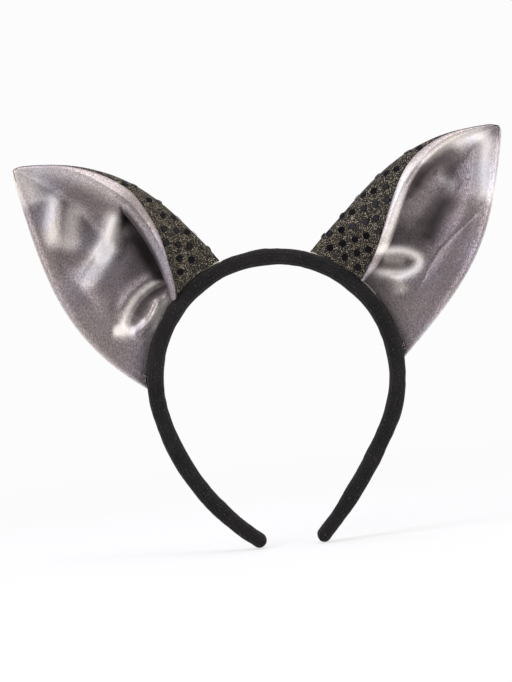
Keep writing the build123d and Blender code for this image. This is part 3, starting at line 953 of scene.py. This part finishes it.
def sequin_mesh(ear, knit):
    """Dished discs, each a little tilted as sewn, and now and then one that stands off enough to glint."""
    turn = np.linspace(0, 2 * math.pi, SEQUIN_SIDES, endpoint=False)
    points, faces = [], []
    for place, out in sequin_places(ear, knit):
        tilt = LOOSE_TILT if RNG.random() < LOOSE_SHARE else SEWN_TILT
        out = unit(out + RNG.normal(0, tilt, 3))
        side = unit(np.cross(out, (0.3, 0.1, 1.0)))
        up = np.cross(side, out)
        first = len(points)
        radius = SEQUIN_RADIUS * RNG.uniform(0.94, 1.03)
        for share, lift in SEQUIN_RINGS:
            for a in turn:
                flat = side * math.cos(a) + up * math.sin(a)
                points.append(place + flat * radius * share + out * (SEQUIN_LIFT + lift))
        points.append(place + out * SEQUIN_LIFT)
        points.append(place + out * (SEQUIN_LIFT - 0.12))
        faces += grid_faces(len(SEQUIN_RINGS), SEQUIN_SIDES, wrap=True, first=first)
        top = first + (len(SEQUIN_RINGS) - 1) * SEQUIN_SIDES
        for c in range(SEQUIN_SIDES):
            d = (c + 1) % SEQUIN_SIDES
            faces.append((top + c, top + d, len(points) - 2))
            faces.append((first + d, first + c, len(points) - 1))
    return np.array(points), faces


def loose_threads(ear, satin):
    """Fine frayed threads that curl out of the hem, at the lip's base and at the outer corner."""
    mirror = (ear.sign, 1, 1)
    made = []
    for place in FRAY_PLACES:
        for _ in range(FRAY_COUNT):
            start = satin[1, int(place * SATIN_COLUMNS)] + RNG.normal(0, 0.9, 3) * (1, 0.4, 1)
            heading = unit(RNG.normal(0, 1, 3) * (1, 0.5, 1) + (0, -0.9, 0))
            bend = unit(RNG.normal(0, 1, 3)) * RNG.uniform(0.5, 1.6)
            t = np.linspace(0, 1, 9)[:, None]
            path = start + FRAY_LENGTH * RNG.uniform(0.4, 1) * t * heading + bend * t**2
            made.append(tube("thread", path * mirror, FRAY_RADIUS, FRAY, 5))
    with bpy.context.temp_override(active_object=made[0], selected_editable_objects=made):
        bpy.ops.object.join()
    made[0].name = f"{ear.side}_ear_loose_threads"
    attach(made[0], f"{ear.side}_leg")


def ear_pieces(side):
    """Every visible and hidden soft piece of one ear."""
    ear = Ear(side)
    satin_grid, knit_grid, painted_light = ear_surfaces(ear)
    mirror = np.array([ear.sign, 1, 1])
    pieces = {}
    for name, grid, material in (("satin", satin_grid, SATIN), ("knit", knit_grid, KNIT)):
        outwards = outwards_of(grid)
        pieces[name] = closed_sheet(f"{side}_ear_{name}", grid * mirror, outwards * mirror, material)
    # The satin carries its painted light and shade as a value at each point, read by its material
    values = pieces["satin"].data.attributes.new("painted_light", "FLOAT", "POINT").data
    values.foreach_set("value", np.tile(painted_light.ravel(), 2))
    points, faces = sequin_mesh(ear, knit_grid)
    if side == "right":
        faces = [f[::-1] for f in faces]
    pieces["sequins"] = mesh_object(f"{side}_ear_spangles", points * mirror, faces, SEQUIN)
    pieces["foam"] = ear_foam(ear)
    inset, tip_gap, radius = RIM_WIRE
    pieces["wire"] = tube(f"{side}_ear_rim_wire", rim_line(ear, inset, tip_gap), radius, WIRE)
    inset, tip_gap, radius = SEAM_THREAD
    pieces["thread"] = tube(f"{side}_ear_inner_stitching", rim_line(ear, inset, tip_gap), radius, THREAD, 6)
    for key, slot, node in (
        ("satin", "satin", "satin_panel"),
        ("knit", "glitter_knit", "knit_panel"),
        ("sequins", "sequin", "sequins"),
        ("foam", "foam", "foam_insert"),
        ("wire", "wire", "edge_wire"),
        ("thread", "thread", "seam_thread"),
    ):
        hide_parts(f"{side}_ear_{node}")
        blend_ear(pieces[key])
    loose_threads(ear, satin_grid)


# ---------------------------------------------------------------- band


def centre_line(side, steps):
    """Points, outward directions and run of the band's middle line, from the crown to the leg's end."""
    sign = SIDES[side]
    leg_angle, leg_radius, sweep = LEG_SHAPES[side]
    middle = ARCH_RADIUS + BAND_DEPTH / 2
    leg_middle = leg_radius + BAND_DEPTH / 2
    arch_run = math.radians(leg_angle) * middle
    leg_run = math.radians(sweep) * leg_middle
    run = np.linspace(0, arch_run + leg_run, steps)
    angle = np.where(run < arch_run, run / middle, math.radians(leg_angle) + (run - arch_run) / leg_middle)
    angle = np.degrees(angle)
    centre = np.where((run < arch_run)[:, None], 0.0, -on_arch(leg_angle, leg_radius - ARCH_RADIUS))
    radius = np.where(run < arch_run, middle, leg_middle)
    points = centre + on_arch(angle, radius)
    outwards = on_arch(angle, 1.0)
    return points * (sign, 1, 1), outwards * (sign, 1, 1), run


def band_outline(count):
    """Section of the sleeve as (front-to-back, outwards) points, evenly spread round it."""
    x = BAND_WIDTH / 2 - BAND_CORNER
    y = BAND_DEPTH / 2 - BAND_CORNER
    points = []
    for corner, (cx, cy) in enumerate(((x, y), (-x, y), (-x, -y), (x, -y))):
        for a in np.radians(np.linspace(90 * corner, 90 * (corner + 1), 24)):
            points.append((cx + BAND_CORNER * math.cos(a), cy + BAND_CORNER * math.sin(a)))
    points = np.array(points + points[:1])
    run = run_along(points)
    s = np.linspace(0, run[-1], count, endpoint=False)
    return at_runs(s, run, points), s


def band_piece(side):
    """Half of the fabric sleeve, from the crown to the round tip of its leg."""
    line, outwards, run = centre_line(side, BAND_STEPS)
    outline, s = band_outline(BAND_SIDES)
    rows = []
    taper = 1 - TIP_TAPER * smooth((run - run[-1] + TAPER_RUN) / TAPER_RUN)
    for p, n, narrow in zip(line, outwards, taper):
        rows.append(p + np.outer(outline[:, 1] * narrow, n) + np.outer(outline[:, 0], (0, 1, 0)))
    end, n = line[-1], outwards[-1]
    forward = unit(line[-1] - line[-2])
    outline[:, 1] *= taper[-1]
    half = BAND_DEPTH / 2 * taper[-1]
    for a in np.linspace(0, math.pi / 2, TIP_STEPS)[1:-1]:
        shift = forward * half * math.sin(a)
        shrink = math.cos(a)
        width = np.sign(outline[:, 0]) * np.maximum(np.abs(outline[:, 0]) - (1 - shrink) * half * 0.55, 0.05)
        rows.append(end + shift + np.outer(outline[:, 1] * shrink, n) + np.outer(width, (0, 1, 0)))
    grid = np.array(rows)
    centre = np.concatenate([line, np.repeat(line[-1:], len(grid) - len(line), axis=0)])
    away = unit(grid - centre[:, None])
    ribs = np.sin(s / s[-1] * 2 * math.pi * RIB_COUNT)[None, :]
    relief = ribs * RIB_RISE + layered_noise(grid, SLEEVE_LUMPS)
    narrowed = BAND_DEPTH / 2 * (1 - np.pad(taper, (0, len(grid) - len(line)), mode="edge"))
    lowest = WADDING_ROOM + narrowed - WADDING_DEPTH
    grid = grid + away * np.maximum(relief, lowest[:, None])[..., None]
    points = np.concatenate([grid.reshape(-1, 3), [line[0]], [end + forward * half]])
    faces = capped_faces(len(grid), BAND_SIDES)
    if side == "right":
        faces = [f[::-1] for f in faces]
    sleeve = mesh_object(f"{side}_band_sleeve", points, faces, SLEEVE)
    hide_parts(f"{side}_leg_sleeve", "crown_sleeve")
    start, finish = (tuple(on_arch(a, OUTER_RADIUS) * (SIDES[side], 1, 1) * MM) for a in SLEEVE_BEND)
    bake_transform(sleeve)


def blend_ear(piece):
    """Bake the piece's placement into its mesh."""
    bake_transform(piece)


def dress_nodes():
    """Give each CAD node the material of what its name says it is."""
    for name, node in frame["nodes"].items():
        for word, material in NODE_MATERIALS.items():
            if word in name:
                node.data.materials.clear()
                node.data.materials.append(material)


# ---------------------------------------------------------------- stage, light and camera

BACKDROP = (0.975, 0.975, 0.975)
DIM_FRONT = (0.018, 0.017, 0.019)
BRIGHT_LEFT = (0.80, 0.77, 0.92)
BRIGHT_RIGHT = (0.92, 0.87, 0.82)
FLOOR_SIZE = 9000.0
# Camera: roll in degrees, the middle of its view, across and up as it sees them, and the view's height
CAMERA_ROLL = 5.6
CAMERA_AIM = (-11.103, 19.727)
VIEW_HEIGHT = 367.6
LENS = 110.0
SENSOR = 36.0
# Softboxes, which face the middle of the headband: place and size in metres, watts and colour
LIT_PLACE = (0, 0, 0.03)
SOFTBOXES = {
    "key": ((-1.2, -0.9, 1.0), (0.8, 1.2), 16, (0.97, 0.95, 1.0)),
    "fill": ((1.3, -0.8, 0.5), (0.7, 1.2), 10, (1.0, 0.96, 0.92)),
    "top": ((0.2, -0.2, 1.6), (1.0, 0.7), 8, (0.97, 0.96, 1.0)),
}


def floor():
    """Pale floor that fades into the white surround away from the object."""
    low = cad_box[0].z / MM
    corners = ((-1, -1), (1, -1), (1, 1), (-1, 1))
    points = [(x * FLOOR_SIZE, y * FLOOR_SIZE, low) for x, y in corners]
    n = Material("floor")
    n.set(Base_Color=n.mix(n.noise(4.0, 2.0), (0.86, 0.86, 0.86), (0.90, 0.90, 0.90)), Roughness=0.7)
    flat = n.add("ShaderNodeVectorMath", {0: n.place, 1: (1.0, 1.0, 0.0)}, operation="MULTIPLY").outputs[0]
    reach = n.add("ShaderNodeVectorMath", {0: flat}, operation="LENGTH").outputs["Value"]
    fade = {"Value": reach, "From Min": 0.1, "From Max": 0.9, "To Min": 0.65}
    far = n.add("ShaderNodeMapRange", fade, interpolation_type="SMOOTHSTEP")
    glow = n.add("ShaderNodeEmission", {"Color": (*BACKDROP, 1.0)})
    mix = n.add("ShaderNodeMixShader", {0: far.outputs[0], 1: n.shader.outputs[0], 2: glow.outputs[0]})
    n.tree.links.new(mix.outputs[0], n.out.inputs[0])
    mesh_object("floor", points, [(0, 1, 2, 3)], n.material, smooth_faces=False)


def softbox(name, place, size, power, colour):
    light = bpy.data.lights.new(name, "AREA")
    light.shape = "RECTANGLE"
    light.size, light.size_y = size
    light.energy = power
    light.color = colour
    obj = bpy.data.objects.new(name, light)
    obj.location = place
    obj.rotation_euler = (Vector(LIT_PLACE) - Vector(place)).to_track_quat("-Z", "Y").to_euler()
    bpy.context.scene.collection.objects.link(obj)


def world():
    """White to the camera. What the surfaces see is bright all round but dim on the camera's side."""
    scene = bpy.context.scene
    scene.world = bpy.data.worlds.new("studio")
    scene.world.use_nodes = True
    n = Nodes(scene.world.node_tree)
    place = n.add("ShaderNodeTexCoord").outputs["Generated"]
    parts = n.add("ShaderNodeSeparateXYZ", {0: place}).outputs
    across, away = (n.math("ADD", n.math("MULTIPLY", part, 0.5), 0.5) for part in parts[:2])
    behind = n.ramp(away, [(0.08, (0.0, 0.0, 0.0)), (0.48, (1.0, 1.0, 1.0))])
    glow = n.mix(behind, DIM_FRONT, n.mix(across, BRIGHT_LEFT, BRIGHT_RIGHT))
    light = n.add("ShaderNodeBackground", {0: glow}).outputs[0]
    seen = n.add("ShaderNodeBackground", {0: (*BACKDROP, 1.0)}).outputs[0]
    to_camera = n.add("ShaderNodeLightPath").outputs["Is Camera Ray"]
    mix = n.add("ShaderNodeMixShader", {0: to_camera, 1: light, 2: seen}).outputs[0]
    n.add("ShaderNodeOutputWorld", {0: mix})


def camera():
    """Level camera in front, rolled so that the headband leans a little."""
    data = bpy.data.cameras.new("camera")
    data.sensor_fit = "VERTICAL"
    data.sensor_height = SENSOR
    data.lens = LENS
    roll = math.radians(CAMERA_ROLL)
    across = Vector((math.cos(roll), 0, -math.sin(roll)))
    up = Vector((math.sin(roll), 0, math.cos(roll)))
    back = Vector((0, -1, 0))
    aim = across * CAMERA_AIM[0] + up * CAMERA_AIM[1]
    matrix = Matrix((across, up, back)).transposed().to_4x4()
    matrix.translation = (aim + back * VIEW_HEIGHT * LENS / SENSOR) * MM
    obj = bpy.data.objects.new("camera", data)
    bpy.context.scene.collection.objects.link(obj)
    obj.matrix_world = matrix
    bpy.context.scene.camera = obj


dress_nodes()
for side in SIDES:
    band_piece(side)
    ear_pieces(side)
floor()
world()
for name, settings in SOFTBOXES.items():
    softbox(name, *settings)
camera()
bpy.context.scene.view_settings.view_transform = "Standard"
